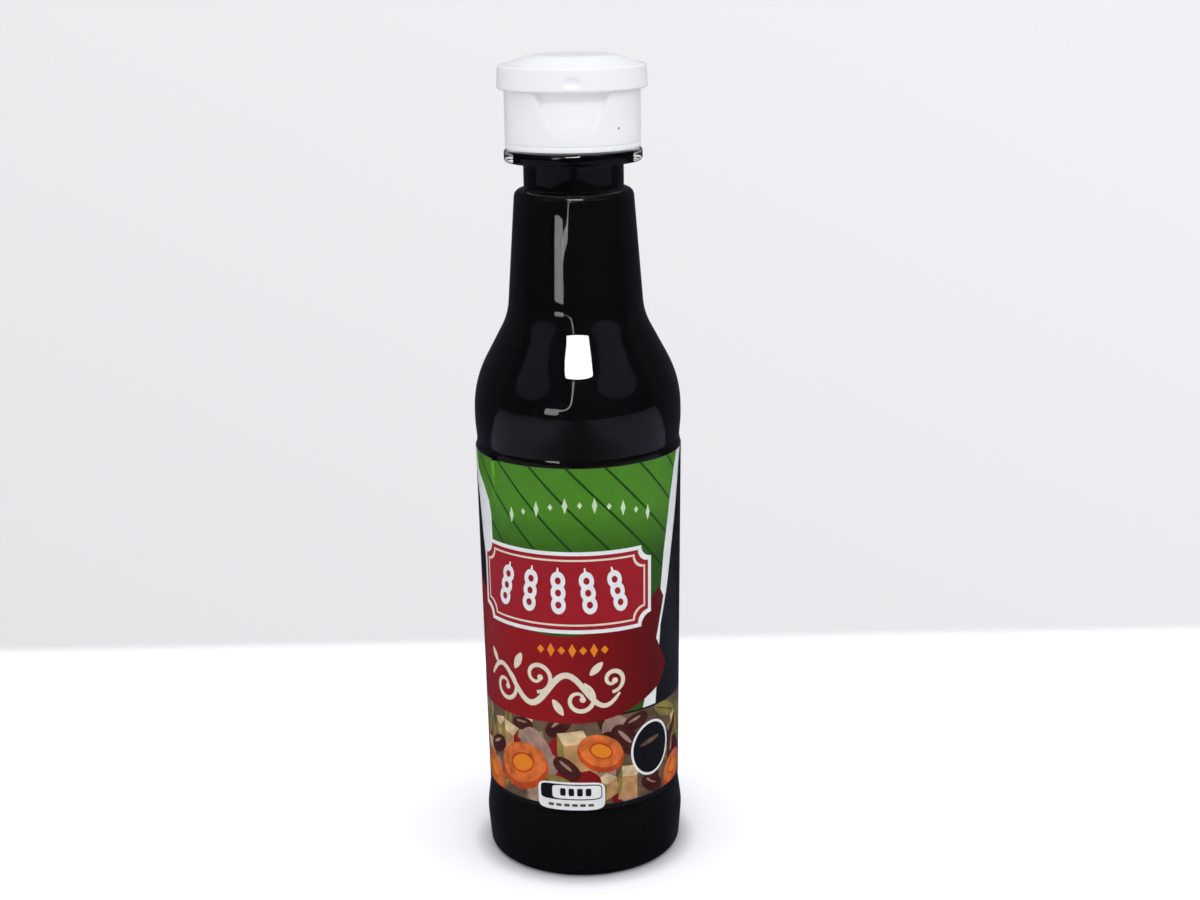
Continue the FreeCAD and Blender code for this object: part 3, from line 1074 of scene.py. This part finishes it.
# ---- Light -----------------------------------------------------------------------------------
# Even light from all round, a softbox above and in front, a wide one overhead and weak fills at the
# sides. A tube at the left bends up beside the front softbox, and its mark shows on the dark plastic.
world = bpy.data.worlds.new("soft room")
bpy.context.scene.world = world
world.use_nodes = True
room = world.node_tree
path = room.nodes.new("ShaderNodeLightPath")
room_seen = calc(room, "MAXIMUM", path.outputs["Is Camera Ray"], path.outputs["Is Transmission Ray"])
room_light = mix_colours(room, path.outputs["Is Glossy Ray"], (0.48, 0.48, 0.49, 1.0),
                         (0.016, 0.018, 0.026, 1.0))
room_light = mix_colours(room, room_seen, room_light, (0.83, 0.82, 0.845, 1.0))
room.links.new(room_light, room.nodes["Background"].inputs["Color"])


def bearing(turn, lift):
    """Direction at an angle to the right of the front and an angle above level, in degrees."""
    turn, lift = math.radians(turn), math.radians(lift)
    return Vector((math.sin(turn) * math.cos(lift), -math.cos(turn) * math.cos(lift), math.sin(lift)))


def softbox(name, start, end, distance, width, radiance, aim_z, in_gloss=True, on_matt=True,
            shape="RECTANGLE", tint=(1.0, 1.0, 1.0)):
    """Area lamp that runs from one bearing to another as seen from the bottle's axis."""
    aim = Vector((0, 0, aim_z))
    near, far = aim + bearing(*start) * distance, aim + bearing(*end) * distance
    lamp = bpy.data.lights.new(name, "AREA")
    lamp.shape = shape
    lamp.color = tint
    lamp.size = (far - near).length
    lamp.size_y = width
    lamp.energy = radiance * math.pi * lamp.size * lamp.size_y
    along = (far - near).normalized()
    back = ((near + far) / 2 - aim).normalized()
    back = (back - along * back.dot(along)).normalized()
    turned = Matrix((along, back.cross(along), back)).transposed().to_4x4()
    obj = bpy.data.objects.new(name, lamp)
    obj.matrix_world = Matrix.Translation((near + far) / 2) @ turned
    obj.visible_glossy = in_gloss
    obj.visible_diffuse = on_matt
    bpy.context.scene.collection.objects.link(obj)


box_far = 0.7
fill_far = 0.8
sheen_far = 0.9
shoulder_aim = 0.108
cool = (0.75, 0.95, 1.25)
softbox("front softbox", (-19, 40), (28, 40), box_far, 0.122, 5.2, shoulder_aim, in_gloss=False)
softbox("front glint", (-18, 40), (22, 40), box_far, 0.108, 46.0, shoulder_aim, on_matt=False,
        shape="ELLIPSE")
softbox("tube level", (-36, 0), (-21, 0), box_far, 0.075, 8.0, 0.1475)
softbox("tube bend low", (-22, 4.3), (-13, 5.6), box_far, 0.018, 9.0, shoulder_aim)
softbox("tube bend", (-13.5, 5.4), (-8, 10), box_far, 0.018, 9.0, shoulder_aim)
softbox("tube bend high", (-8.3, 9.6), (-6.3, 16), box_far, 0.020, 10.0, shoulder_aim)
softbox("tube riser", (-6.5, 15.5), (-5, 35), box_far, 0.022, 10.0, shoulder_aim)
softbox("overhead softbox", (-90, 60), (90, 60), fill_far, 0.6, 1.5, 0.16)
softbox("right fill", (50, 20), (110, 20), fill_far, 0.5, 1.05, 0.10, in_gloss=False)
softbox("left fill", (-100, 20), (-50, 20), fill_far, 0.5, 0.50, 0.10, in_gloss=False)
softbox("right sheen", (24, 27), (78, 24), sheen_far, 0.45, 0.24, 0.10, on_matt=False,
        shape="ELLIPSE", tint=cool)
softbox("left sheen", (-80, 24), (-34, 26), sheen_far, 0.45, 0.20, 0.10, on_matt=False,
        shape="ELLIPSE", tint=cool)


# ---- Camera ----------------------------------------------------------------------------------
# The camera looks down on the bottle a little, from its cap's height.
camera_back = 0.3772
camera_height = 0.1873
camera_pitch = math.radians(15.0)
camera_pan = math.radians(0.67)
camera_roll = math.radians(-0.857)

camera = bpy.data.objects.new("camera", bpy.data.cameras.new("camera"))
camera.data.lens = 57.0
camera.data.sensor_width = 36.0
camera.data.clip_start = 0.01
camera.matrix_world = (
    Matrix.Translation((0, -camera_back, camera_height))
    @ Matrix.Rotation(-camera_pan, 4, "Z")
    @ Matrix.Rotation(math.pi / 2 - camera_pitch, 4, "X")
    @ Matrix.Rotation(camera_roll, 4, "Z"))
bpy.context.scene.collection.objects.link(camera)
bpy.context.scene.camera = camera
bpy.context.scene.view_settings.view_transform = "Standard"
